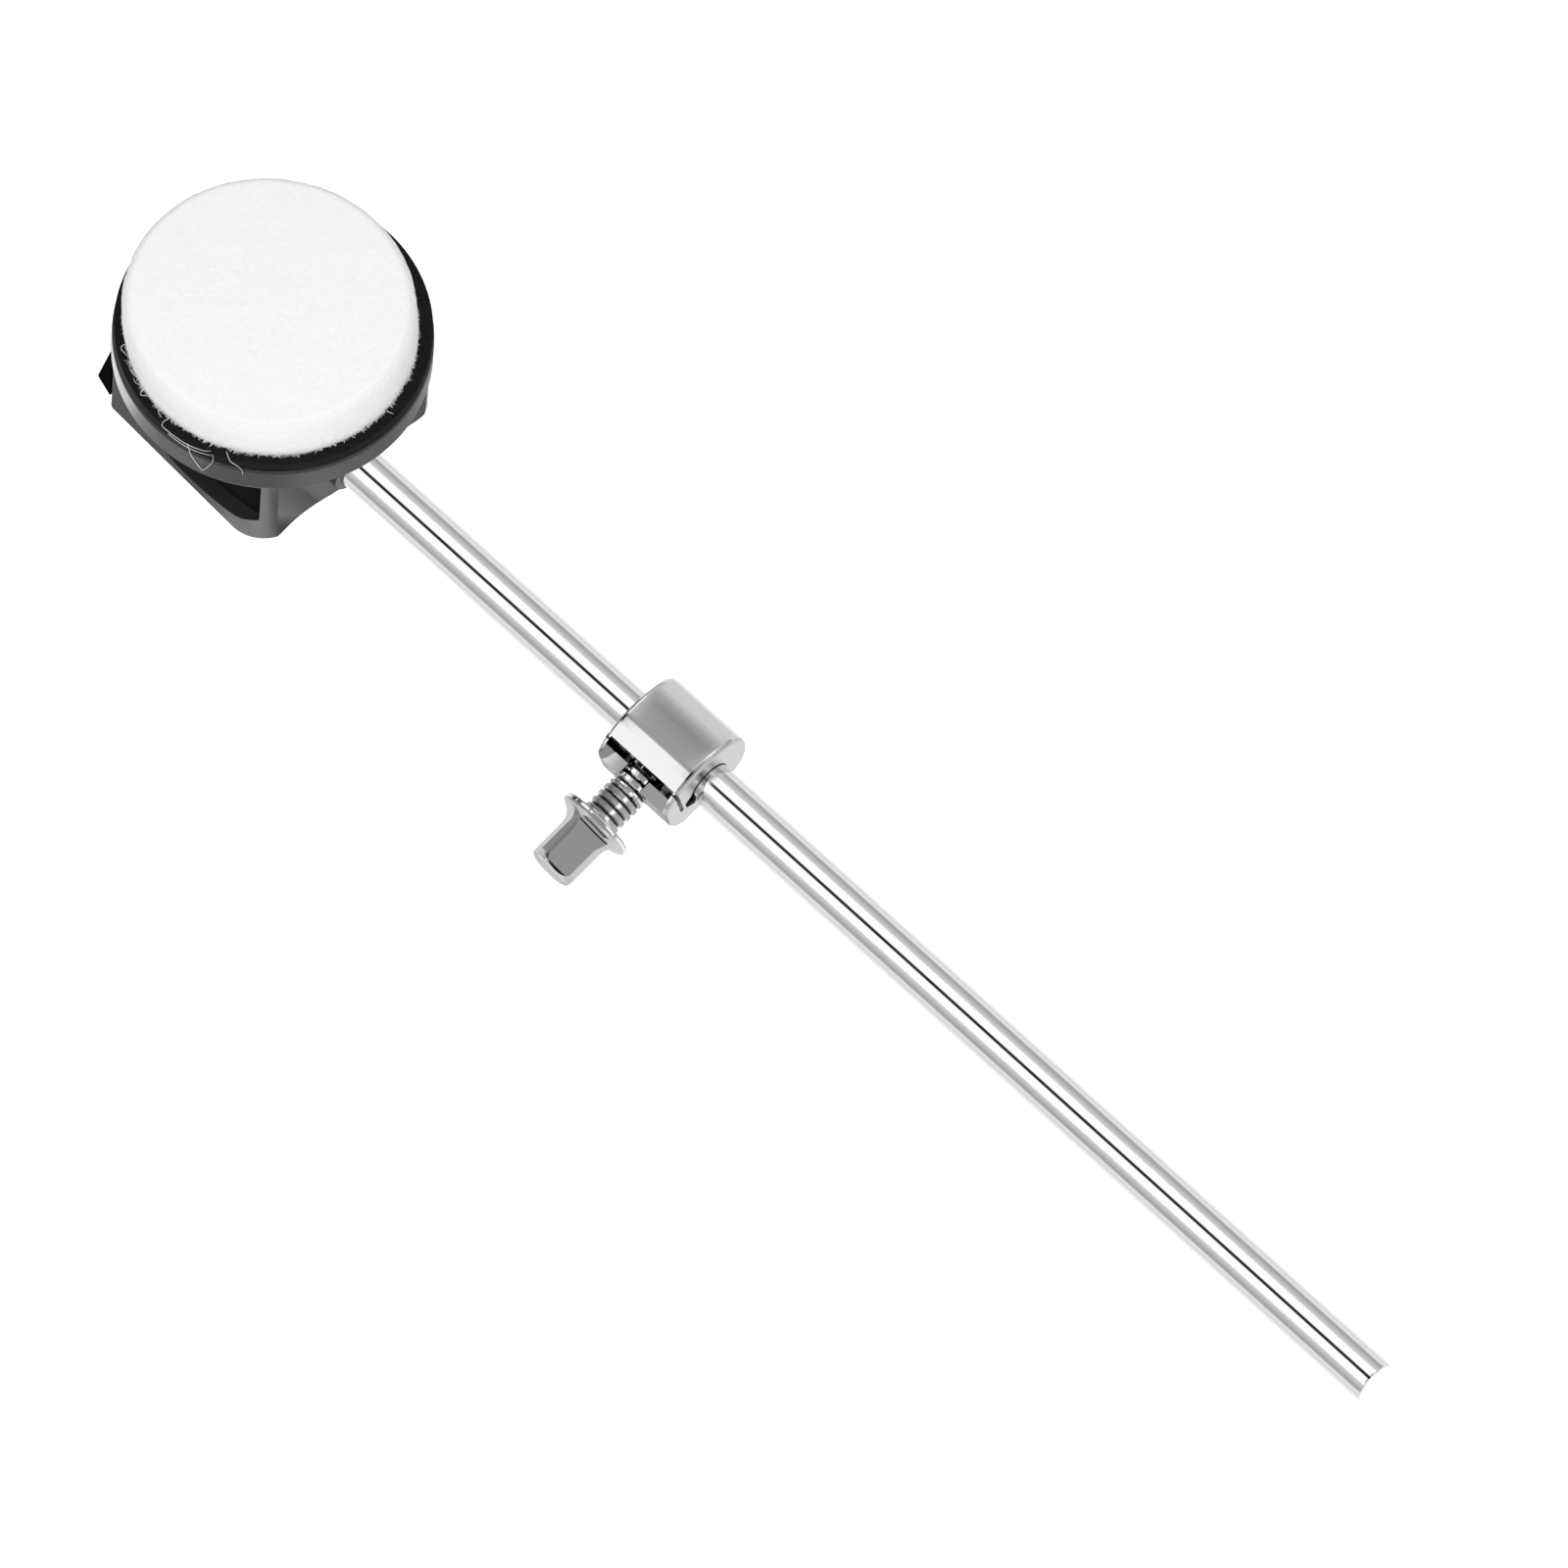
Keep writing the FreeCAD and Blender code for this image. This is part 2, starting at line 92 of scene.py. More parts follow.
# Plating: the brightness of the metal, its roughness in smudges and its roughness where it is clean.
SHAFT_PLATING = (0.98, 0.05, 0.02)
COLLAR_PLATING = (0.9, 0.1, 0.04)
SCREW_PLATING = (0.88, 0.07, 0.03)
SMUDGE_SCALE = 120.0

# Slot of the lock's nut, outwards along the screw and up from it, and the painted shade in it by the level of its
# noise.
SLOT_START = 6.15 * MM
SLOT_END = 6.9 * MM
SLOT_TOP = 6.1 * MM
SLOT_FLOOR = -0.5 * MM
SLOT_PAINTED_SHADE = [(0.42, 0.008), (0.55, 0.1), (0.65, 0.3)]
SLOT_PAINTED_SHADE_SCALE = 500.0

# Turned end of the collar: where it begins along the shaft, its brightness and how much rougher it is.
TURNED_END = 158.2 * MM
TURNED_LEVEL = 0.7
TURNED_ROUGH = 0.26

# Painted shade in the valleys of the screw's thread: where the thread ends, and its painted shade by the height
# over the valley.
THREAD_END = 17.3 * MM
THREAD_VALLEY = 2.9 * MM
THREAD_DEPTH = 0.7 * MM
THREAD_VALLEY_PAINTED_SHADES = [(0.07, 0.06), (0.2, 0.2), (0.45, 0.6), (0.83, 0.95)]

# Moulded plastic: a faint mottle and a fine grain.
PLASTIC_SHADE = 0.03
PLASTIC_ROUGH = 0.2
PLASTIC_MOTTLE = [(0.3, 0.024), (0.7, 0.034)]
PLASTIC_MOTTLE_SCALE = 90.0
PLASTIC_GRAIN_SCALE = 2600.0
PLASTIC_GRAIN_DETAIL = 3.0
PLASTIC_GRAIN_ROUGH = (0.14, 0.26)
PLASTIC_BUMP = 0.02 * MM
PLASTIC_BUMP_STRENGTH = 0.15

# Black backing and cap: the darkest and lightest shade, the roughness and the shine; the cap's near lightless
# black is partly its own colour and partly painted shade of the head's far corner.
BACKING_BLACK = (0.004, 0.012, 0.7, 0.12)
CAP_BLACK_AND_PAINTED_SHADE = (0.001, 0.003, 0.8, 0.02)
BLACK_RANGE = (0.35, 0.7)
BLACK_FIBRE_SCALE = 1500.0
BLACK_FIBRE_DETAIL = 5.0
BLACK_ROUGH_SPREAD = 0.08
BLACK_BUMP = 0.1 * MM
BLACK_BUMP_STRENGTH = 0.3

# Brass of the hidden insert.
BRASS_COLOUR = (0.72, 0.5, 0.2)
BRASS_ROUGH = 0.3
BRASS_STAIN_SCALE = 700.0
BRASS_STAIN_ROUGH = (0.22, 0.45)

# Felt's material: its shade by the level of its noise, and painted shade that greys its rim by how far its face
# looks up.
FELT_SHADE = 0.9
FELT_ROUGH = 0.95
FELT_TUFTS = [(0.3, 0.86), (0.7, 0.92)]
FELT_TUFT_SCALE = 1300.0
FELT_TUFT_DETAIL = 6.0
FELT_RIM_PAINTED_SHADE = [(0.15, 1.0), (0.45, 0.93), (0.9, 0.93), (0.99, 1.0)]
FELT_FUZZ_SCALE = 2200.0
FELT_FUZZ_DETAIL = 5.0
FELT_NOISE_ROUGH = 0.75
FELT_BUMP = 0.3 * MM
FELT_BUMP_STRENGTH = 0.4
FELT_SHEEN = 0.15

# Felt's mesh: its rounded front edge, its sink into the backing, the rings of its back and the steps of its mesh.
FELT_EDGE = 1.8 * MM
FELT_SINK = 0.05 * MM
FELT_BACK_RINGS = (1.2 * MM, 0.5 * MM)
FELT_SEGMENTS = 420
FELT_RING = 0.55 * MM
FELT_SIDE_STEPS = 11
FELT_SIDE_START = 0.03
FELT_EDGE_STEPS = 6

# The felt is glued on a little askew: how far its foot sits from the middle, and its front from its foot.
FELT_FOOT = Vector((-0.65, 0.11, 0.0)) * MM
FELT_LEAN = Vector((1.15, -0.02, 0.0)) * MM
FELT_SLACK = 0.1 * MM
FELT_TUCK = 0.15 * MM

# Felt's nap: the span and height of its swells, the frayed foot, and the room kept for both inside the CAD model.
FELT_SWELLS = [(5.0 * MM, 0.06 * MM), (0.9 * MM, 0.05 * MM)]
FELT_SWELL_ASIDE = 2.0
FELT_FOOT_HEIGHT = 1.6 * MM
FELT_FRAY_SPAN = 0.7 * MM
FELT_FRAY = 0.3 * MM
FELT_RIM_POWER = 6
FELT_ROOM_ASIDE = 0.1 * MM
FELT_ROOM_ABOVE = 0.11 * MM
FELT_NAP_START = 1.0 * MM
FELT_NAP_RIM = 0.5

# Loose fibres of the felt, as angle in degrees, radius and height in millimetres about the head's axis.
LOOSE_FIBRES = [
    [(92.5, 25.4, 20.6), (91.6, 26.4, 20.2), (92.2, 26.85, 19.6), (94.4, 26.85, 19.5), (98.4, 26.85, 19.35),
     (104.4, 26.85, 19.3), (110.3, 26.8, 19.9), (112.6, 26.5, 20.2)],
    [(95.0, 26.95, 18.9), (99.0, 26.95, 18.7), (104.0, 26.95, 18.6), (109.0, 26.95, 19.0), (113.0, 26.9, 19.4)],
    [(103.5, 26.85, 19.6), (105.0, 27.1, 17.7), (106.2, 27.1, 16.4), (109.1, 27.1, 14.4), (110.3, 27.15, 14.0),
     (112.4, 27.15, 16.0), (114.0, 27.1, 18.4), (113.4, 26.85, 19.9)],
    [(118.0, 25.9, 20.5), (119.5, 26.8, 20.3), (120.5, 27.1, 19.7), (123.0, 27.1, 18.8), (124.6, 27.15, 17.8),
     (125.0, 27.15, 16.4)],
    [(184.2, 24.3, 21.6), (184.6, 25.2, 20.7), (185.7, 26.1, 20.3)],
    [(55.5, 25.3, 20.5), (56.5, 25.9, 20.25), (58.5, 25.6, 20.25), (61.5, 25.0, 20.4), (63.0, 24.7, 20.5)],
    [(63.5, 25.2, 20.3), (66.0, 25.5, 20.2), (69.0, 25.3, 20.2), (72.5, 24.8, 20.4), (74.0, 25.2, 20.25),
     (72.0, 25.7, 20.2), (70.0, 25.6, 20.2)],
    [(75.5, 25.0, 20.4), (77.0, 25.9, 20.2), (78.0, 26.0, 20.2), (79.5, 25.3, 20.3), (82.0, 24.9, 20.5)],
    [(86.0, 24.9, 20.5), (87.5, 25.7, 20.2), (90.0, 26.0, 20.2)],
]
FIBRE_RADIUS = 0.06 * MM
FIBRE_SIDES = 4
FIBRE_STEPS = 6
FIBRE_TAPER = (0.25, 0.7)
FIBRE_THINNEST = 0.35

# Fringe of short fibres round the felt's foot, with ranges in millimetres.
FRINGE_COUNT = 1500
FRINGE_SEED = 7
FRINGE_FOOT = (0.12, 0.7)
FRINGE_ROOT = 0.25 * MM
FRINGE_OUT = (0.5, 1.0)
FRINGE_ASIDE = (-0.9, 0.9)
FRINGE_LENGTH = (0.35, 0.8)
FRINGE_CLUMPS = 14.0
FRINGE_CLUMPING = 1.1
FRINGE_CURL = (-0.5, 0.5)
FRINGE_LIFT = 0.06 * MM
FRINGE_STEPS = 4
FRINGE_RADIUS = (0.03, 0.055)
FRINGE_SIDES = 3

# Reflections along the shaft: brightness by the angle round the shaft from the view, in degrees.
TUNNEL = [
    (0.0, 0.02), (5.4, 0.02), (9.4, 1.0), (43.2, 1.0), (50.0, 0.62), (64.0, 0.5), (82.0, 0.36), (88.0, 0.38),
    (95.0, 0.72), (102.0, 0.78), (124.0, 0.69), (142.0, 0.92), (180.0, 0.95),
]
VIEW_ROUND_SHAFT = Vector((0.0, VIEW_BACK.y, VIEW_BACK.z)).normalized()
VIEW_ASIDE = X_AXIS.cross(VIEW_ROUND_SHAFT)

# The dark end of the studio: brightness by the slope along X, and its share by the angle round the shaft.
GLOOM = [(0.74, 1.0), (0.82, 0.2), (0.92, 0.08), (1.0, 0.4)]
OVERHEAD = [(54.0, 1.0), (90.0, 0.0)]

# Dimmer spots of the studio: the faces that reflect them, where they begin and end and their brightness.
DIM_SPOTS = [(VIEW_BACK, 0.80, 0.88, 0.3), (SCREW_AXIS, 0.975, 0.99, 0.72)]

# Even light of the studio, and the key lamp.
ROOM_LEVEL = 0.68
KEY_LAMP_PLACE = Vector((-0.03, 0.29, 0.6))
KEY_LAMP_SIZE = 0.3
KEY_LAMP_POWER = 2.45

# Cards round the shaft and round the lock's screw, with brightness by the angle from the view, in degrees.
CARD_STEPS = 180
SHAFT_RADIUS = 4.0 * MM
SHAFT_CARD = 9.0 * MM
SHAFT_CARD_REACH = (216.0 * MM, 243.4 * MM)
COLLAR_CARD = 150.0 * MM
COLLAR_STOPS = [
    (-180.0, 0.95), (-142.0, 0.92), (-124.0, 0.7), (-60.0, 0.7), (-50.0, 1.0), (2.3, 1.0), (2.9, 0.35),
    (20.0, 0.34), (31.0, 0.31), (42.0, 0.265), (47.0, 0.32), (55.7, 0.42), (61.4, 0.58), (67.0, 0.65),
    (124.0, 0.67), (142.0, 0.92), (180.0, 0.95),
]
SCREW_CARD = 9.0 * MM
THREAD_CARD_REACH = (9.7 * MM, 16.0 * MM)
THREAD_STOPS = [
    (-180.0, 0.5), (-115.0, 0.42), (-79.0, 0.45), (-55.0, 0.36), (-32.0, 0.4), (-25.0, 1.0), (-13.0, 1.0),
    (-7.0, 0.34), (17.0, 0.3), (35.0, 0.2), (55.0, 0.22), (79.0, 0.13), (115.0, 0.45), (180.0, 0.5),
]
KEY_CARD_REACH = (18.5 * MM, 27.6 * MM)
KEY_STOPS = [
    (-180.0, 0.7), (-79.0, 0.66), (-50.0, 0.6), (-30.0, 0.31), (30.0, 0.31), (45.0, 0.2), (60.0, 0.3),
    (75.0, 0.2), (110.0, 0.6), (180.0, 0.7),
]
DARK_CARD_REACH = (27.6 * MM, 36.0 * MM)
DARK_STOPS = [(-180.0, 0.6), (-60.0, 0.6), (-40.0, 0.015), (40.0, 0.015), (60.0, 0.6), (180.0, 0.6)]

# Flat cards under the flange and under the head, with brightness by the angle from X towards Y, in degrees.
FLAT_CARD_GAIN = 2.0
FLAT_CARD_EDGE = -32.0 * MM
FLANGE_CARD = (26.95 * MM, 36.0 * MM)
FLANGE_CARD_HEIGHT = 12.4 * MM
FLANGE_STOPS = [
    (-180.0, 0.26), (30.0, 0.4), (45.0, 0.6), (56.0, 0.9), (63.0, 0.95), (69.0, 1.0), (78.0, 0.55),
    (91.0, 0.42), (103.0, 0.5), (115.0, 0.33), (135.0, 0.34), (150.0, 0.55), (165.0, 0.4), (180.0, 0.26),
]
HEAD_CARD = (2.0 * MM, 46.0 * MM)
HEAD_CARD_HEIGHT = -14.0 * MM
HEAD_STOPS = [
    (-180.0, 0.25), (30.0, 0.35), (50.0, 0.25), (65.0, 0.21), (90.0, 0.23), (103.0, 0.4), (110.0, 0.6),
    (120.0, 0.8), (127.0, 1.0), (133.0, 1.0), (138.0, 0.8), (144.0, 0.4), (150.0, 0.15), (154.0, 0.06),
    (157.0, 0.2), (160.0, 0.38), (166.0, 0.25), (180.0, 0.2),
]

# White card that the end of the shaft reflects: its distance, half its side and its brightness.
TIP_CARD_DROP = 30.0 * MM
TIP_CARD_SIZE = 7.0 * MM
TIP_CARD_LEVEL = 1.05


def grey(level):
    return (level, level, level)


def around(turn, front=X_AXIS, aside=Y_AXIS):
    """The unit vector at an angle from the front towards the side."""
    return front * math.cos(turn) + aside * math.sin(turn)


def new_material(name, colour, roughness, metallic=0.0):
    """A material with the principled shader, and the shader's node."""
    material = bpy.data.materials.new(name)
    material.use_nodes = True
    shader = material.node_tree.nodes["Principled BSDF"]
    shader.inputs["Base Color"].default_value = (*colour, 1.0)
    shader.inputs["Roughness"].default_value = roughness
    shader.inputs["Metallic"].default_value = metallic
    return material, shader


def add_place(tree, kind="Object"):
    """A socket of the texture coordinates."""
    return tree.nodes.new("ShaderNodeTexCoord").outputs[kind]


def add_noise(tree, scale, detail=4.0, roughness=0.6):
    """Noise in the object's own coordinates, with its scale in features per metre."""
    texture = tree.nodes.new("ShaderNodeTexNoise")
    texture.inputs["Scale"].default_value = scale
    texture.inputs["Detail"].default_value = detail
    texture.inputs["Roughness"].default_value = roughness
    tree.links.new(add_place(tree), texture.inputs["Vector"])
    return texture.outputs["Fac"]


def add_bump(tree, height, shader, distance, strength):
    """Bumps on a shader, from a socket with their height."""
    bump = tree.nodes.new("ShaderNodeBump")
    bump.inputs["Strength"].default_value = strength
    bump.inputs["Distance"].default_value = distance
    tree.links.new(height, bump.inputs["Height"])
    tree.links.new(bump.outputs["Normal"], shader.inputs["Normal"])


def add_ramp(tree, factor, stops):
    """Greys along a factor, as pairs of place and level."""
    ramp = tree.nodes.new("ShaderNodeValToRGB")
    elements = ramp.color_ramp.elements
    while len(elements) < len(stops):
        elements.new(0.5)
    for element, (place, level) in zip(elements, stops):
        element.position = place
        element.color = (*grey(level), 1.0)
    tree.links.new(factor, ramp.inputs["Fac"])
    return ramp.outputs["Color"]


def add_range(tree, factor, low, high):
    """A factor stretched from 0..1 to low..high."""
    stretch = tree.nodes.new("ShaderNodeMapRange")
    stretch.inputs["To Min"].default_value = low
    stretch.inputs["To Max"].default_value = high
    tree.links.new(factor, stretch.inputs["Value"])
    return stretch.outputs["Result"]


def add_math(tree, operation, *values):
    """A math node on numbers or sockets."""
    node = tree.nodes.new("ShaderNodeMath")
    node.operation = operation
    for socket, value in zip(node.inputs, values):
        if isinstance(value, (int, float)):
            socket.default_value = value
        else:
            tree.links.new(value, socket)
    return node.outputs["Value"]


def add_vector_math(tree, operation, vector, other=None, result="Vector"):
    """A vector math node on a socket and a fixed vector."""
    node = tree.nodes.new("ShaderNodeVectorMath")
    node.operation = operation
    tree.links.new(vector, node.inputs[0])
    if other is not None:
        node.inputs[1].default_value = other
    return node.outputs[result]


def add_dot(tree, vector, way):
    """How far a vector reaches in a direction."""
    return add_vector_math(tree, "DOT_PRODUCT", vector, way, "Value")


def add_angle(tree, vector, front, aside):
    """The angle of a vector from the front towards the side, as a share of a half turn."""
    turn = add_math(tree, "ARCTAN2", add_dot(tree, vector, aside), add_dot(tree, vector, front))
    return add_math(tree, "DIVIDE", turn, math.pi)


def mix_colours(tree, factor, first, second):
    """A mix of two greys or sockets by a factor."""
    mix = tree.nodes.new("ShaderNodeMix")
    mix.data_type = "RGBA"
    tree.links.new(factor, mix.inputs["Factor"])
    for socket, value in ((mix.inputs["A"], first), (mix.inputs["B"], second)):
        if isinstance(value, float):
            socket.default_value = (*grey(value), 1.0)
        else:
            tree.links.new(value, socket)
    return mix.outputs["Result"]


def multiply_colours(tree, first, second):
    """The product of two sockets."""
    mix = tree.nodes.new("ShaderNodeMix")
    mix.data_type = "RGBA"
    mix.blend_type = "MULTIPLY"
    mix.inputs["Factor"].default_value = 1.0
    tree.links.new(first, mix.inputs["A"])
    tree.links.new(second, mix.inputs["B"])
    return mix.outputs["Result"]


def make_chrome(name, level, smudged, clean):
    """Polished plating, with faint smudges in its shine."""
    material, shader = new_material(name, grey(level), smudged, metallic=1.0)
    tree = material.node_tree
    smudges = add_noise(tree, SMUDGE_SCALE)
    tree.links.new(add_range(tree, smudges, clean, smudged), shader.inputs["Roughness"])
    return material


def make_collar_metal():
    """Polished plating with a satin end, and painted shade that darkens the inside of the nut's slot."""
    material = make_chrome("chrome_collar", *COLLAR_PLATING)
    tree = material.node_tree
    shader = tree.nodes["Principled BSDF"]
    place = add_place(tree)
    out = add_dot(tree, place, SCREW_AXIS)
    up = add_dot(tree, place, LOCK_UP)
    inside = add_math(tree, "GREATER_THAN", out, SLOT_START)
    for operation, reach, limit in (
        ("LESS_THAN", out, SLOT_END),
        ("LESS_THAN", up, SLOT_TOP),
        ("GREATER_THAN", up, SLOT_FLOOR),
    ):
        inside = add_math(tree, "MULTIPLY", inside, add_math(tree, operation, reach, limit))
    # painted shade: the inside of the slot is darkened with noise, as shade falls in the recess
    slot_shade = add_ramp(tree, add_noise(tree, SLOT_PAINTED_SHADE_SCALE), SLOT_PAINTED_SHADE)
    turned = add_math(tree, "LESS_THAN", add_dot(tree, place, X_AXIS), TURNED_END)
    plated = mix_colours(tree, turned, COLLAR_PLATING[0], TURNED_LEVEL)
    tree.links.new(mix_colours(tree, inside, plated, slot_shade), shader.inputs["Base Color"])
    rough = shader.inputs["Roughness"].links[0].from_socket
    tree.links.new(add_math(tree, "MULTIPLY_ADD", turned, TURNED_ROUGH, rough), shader.inputs["Roughness"])
    return material


def make_screw_metal():
    """Polished plating with painted shade darkening the valleys of the thread."""
    material = make_chrome("chrome_screw", *SCREW_PLATING)
    tree = material.node_tree
    away = add_vector_math(tree, "SUBTRACT", add_place(tree), SCREW_PLACE)
    across = add_vector_math(tree, "CROSS_PRODUCT", away, SCREW_AXIS)
    distance = add_vector_math(tree, "LENGTH", across, result="Value")
    rise = add_math(tree, "SUBTRACT", distance, THREAD_VALLEY)
    # painted shade: the thread's valleys are darkened and its crests kept bright
    shade = add_ramp(tree, add_math(tree, "DIVIDE", rise, THREAD_DEPTH), THREAD_VALLEY_PAINTED_SHADES)
    threaded = add_math(tree, "LESS_THAN", add_dot(tree, away, SCREW_AXIS), THREAD_END)
    colour = mix_colours(tree, threaded, SCREW_PLATING[0], shade)
    tree.links.new(colour, tree.nodes["Principled BSDF"].inputs["Base Color"])
    return material


def make_plastic():
    """Dark satin plastic with a fine moulded grain."""
    material, shader = new_material("moulded_plastic", grey(PLASTIC_SHADE), PLASTIC_ROUGH)
    tree = material.node_tree
    mottle = add_ramp(tree, add_noise(tree, PLASTIC_MOTTLE_SCALE), PLASTIC_MOTTLE)
    tree.links.new(mottle, shader.inputs["Base Color"])
    grain = add_noise(tree, PLASTIC_GRAIN_SCALE, PLASTIC_GRAIN_DETAIL)
    tree.links.new(add_range(tree, grain, *PLASTIC_GRAIN_ROUGH), shader.inputs["Roughness"])
    add_bump(tree, grain, shader, PLASTIC_BUMP, PLASTIC_BUMP_STRENGTH)
    return material


def make_black(name, low, high, rough, shine):
    """Matte black with short fibres."""
    material, shader = new_material(name, grey(low), rough)
    shader.inputs["Specular IOR Level"].default_value = shine
    tree = material.node_tree
    fibres = add_noise(tree, BLACK_FIBRE_SCALE, BLACK_FIBRE_DETAIL)
    shade = add_ramp(tree, fibres, list(zip(BLACK_RANGE, (low, high))))
    tree.links.new(shade, shader.inputs["Base Color"])
    spread = add_range(tree, fibres, rough - BLACK_ROUGH_SPREAD, rough + BLACK_ROUGH_SPREAD)
    tree.links.new(spread, shader.inputs["Roughness"])
    add_bump(tree, fibres, shader, BLACK_BUMP, BLACK_BUMP_STRENGTH)
    return material


def make_felt():
    """White wool felt, tufted and fuzzy, with painted shade that greys its rim."""
    material, shader = new_material("white_felt", grey(FELT_SHADE), FELT_ROUGH)
    tree = material.node_tree
    tufts = add_noise(tree, FELT_TUFT_SCALE, FELT_TUFT_DETAIL, FELT_NOISE_ROUGH)
    wool = add_ramp(tree, tufts, FELT_TUFTS)
    facing = tree.nodes.new("ShaderNodeSeparateXYZ")
    tree.links.new(add_place(tree, "Normal"), facing.inputs[0])
    # painted shade: the rounded rim of the felt is made greyer where its face turns aside
    rim = add_ramp(tree, facing.outputs["Z"], FELT_RIM_PAINTED_SHADE)
    tree.links.new(multiply_colours(tree, wool, rim), shader.inputs["Base Color"])
    fuzz = add_noise(tree, FELT_FUZZ_SCALE, FELT_FUZZ_DETAIL, FELT_NOISE_ROUGH)
    add_bump(tree, fuzz, shader, FELT_BUMP, FELT_BUMP_STRENGTH)
    shader.inputs["Sheen Weight"].default_value = FELT_SHEEN
    return material


def make_brass():
    """Turned brass, a little stained."""
    material, shader = new_material("turned_brass", BRASS_COLOUR, BRASS_ROUGH, metallic=1.0)
    tree = material.node_tree
    stain = add_noise(tree, BRASS_STAIN_SCALE)
    tree.links.new(add_range(tree, stain, *BRASS_STAIN_ROUGH), shader.inputs["Roughness"])
    return material


def dress(node, material):
    """Give a CAD node its material."""
    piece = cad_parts[node]
    piece.data.materials.clear()
    piece.data.materials.append(material)


def new_object(name, vertices, faces, material, smooth=True):
    """A mesh object with one material, in the scene."""
    mesh = bpy.data.meshes.new(name)
    mesh.from_pydata(vertices, [], faces)
    mesh.polygons.foreach_set("use_smooth", [smooth] * len(mesh.polygons))
    mesh.materials.append(material)
    mesh.update()
    piece = bpy.data.objects.new(name, mesh)
    bpy.context.scene.collection.objects.link(piece)
    return piece


def felt_profile(radius, low, high):
    """Radius and height of the felt's rings, from its back round its edge to the middle of its front."""
    rings = [(radius - inset, low) for inset in FELT_BACK_RINGS]
    side = high - FELT_EDGE
    for step in range(FELT_SIDE_STEPS + 1):
        share = FELT_SIDE_START + (1 - FELT_SIDE_START) * step / FELT_SIDE_STEPS
        rings.append((radius, low + (side - low) * share))
    for step in range(1, FELT_EDGE_STEPS + 1):
        turn = math.pi / 2 * step / FELT_EDGE_STEPS
        rings.append((radius - FELT_EDGE * (1 - math.cos(turn)), side + FELT_EDGE * math.sin(turn)))
    reach = radius - FELT_EDGE
    count = int(reach / FELT_RING)
    rings += [(reach * (1 - step / count), high) for step in range(1, count)]
    return rings


def tube_faces(start, rings, sides):
    """Faces of a closed tube whose rings of vertices follow each other."""
    faces = []
    for ring in range(rings - 1):
        base = start + ring * sides
        above = base + sides
        for side in range(sides):
            after = (side + 1) % sides
            faces.append((base + side, base + after, above + after, above + side))
    last = start + (rings - 1) * sides
    faces.append(tuple(range(start + sides - 1, start - 1, -1)))
    faces.append(tuple(range(last, last + sides)))
    return faces


def make_felt_pad(material):
    """The felt: a thick disc with an uneven nap and a frayed edge against the backing."""
    low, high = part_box("felt_pad")
    centre = (low + high) / 2
    radius = (high.x - low.x) / 2 - FELT_SLACK
    rings = felt_profile(radius, low.z - FELT_SINK, high.z)
    vertices = []
    for reach, height in rings:
        foot = max(0.0, 1.0 - (height - low.z) / FELT_FOOT_HEIGHT)
        rim = min(1.0, reach / radius) ** FELT_RIM_POWER
        lean = FELT_LEAN * max(0.0, (height - low.z) / (high.z - low.z))
        for segment in range(FELT_SEGMENTS):
            way = around(2 * math.pi * segment / FELT_SEGMENTS)
            place = Vector((centre.x, centre.y, height)) + way * reach
            swell = sum(noise.noise(place / span) * rise for span, rise in FELT_SWELLS)
            fray = max(0.0, noise.noise(place / FELT_FRAY_SPAN)) * FELT_FRAY * foot
            aside = swell * FELT_SWELL_ASIDE + fray - FELT_TUCK * foot - FELT_ROOM_ASIDE
            place += way * aside * rim
            if height > low.z + FELT_NAP_START:
                place.z += (swell - FELT_ROOM_ABOVE) * (1 - FELT_NAP_RIM * rim)
            vertices.append(place + FELT_FOOT + lean)
    pad = new_object("felt", vertices, tube_faces(0, len(rings), FELT_SEGMENTS), material)
    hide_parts("felt_pad")
    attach(pad, "beater")


def smooth_path(points, steps):
    """Points along a smooth curve (Catmull-Rom) through the given ones."""
    ends = [points[0]] + points + [points[-1]]
    path = []
    for index in range(1, len(ends) - 2):
        a, b, c, d = ends[index - 1:index + 3]
        for step in range(steps):
            t = step / steps
            bend = (2 * a - 5 * b + 4 * c - d) * t**2 + (3 * b - a - 3 * c + d) * t**3
            path.append(0.5 * (2 * b + (c - a) * t + bend))
    return path + [points[-1]]


def add_fibre(vertices, faces, path, radius, sides):
    """A thin tapered tube along a path."""
    start = len(vertices)
    taper_start, taper_span = FIBRE_TAPER
    for index, place in enumerate(path):
        ahead = path[min(index + 1, len(path) - 1)] - path[max(index - 1, 0)]
        across = ahead.orthogonal().normalized()
        over = ahead.cross(across).normalized()
        share = index / (len(path) - 1)
        swelling = math.sin(math.pi * (taper_start + taper_span * share))
        thick = radius * (FIBRE_THINNEST + (1 - FIBRE_THINNEST) * swelling)
        for side in range(sides):
            vertices.append(place + around(2 * math.pi * side / sides, across, over) * thick)
    faces += tube_faces(start, len(path), sides)


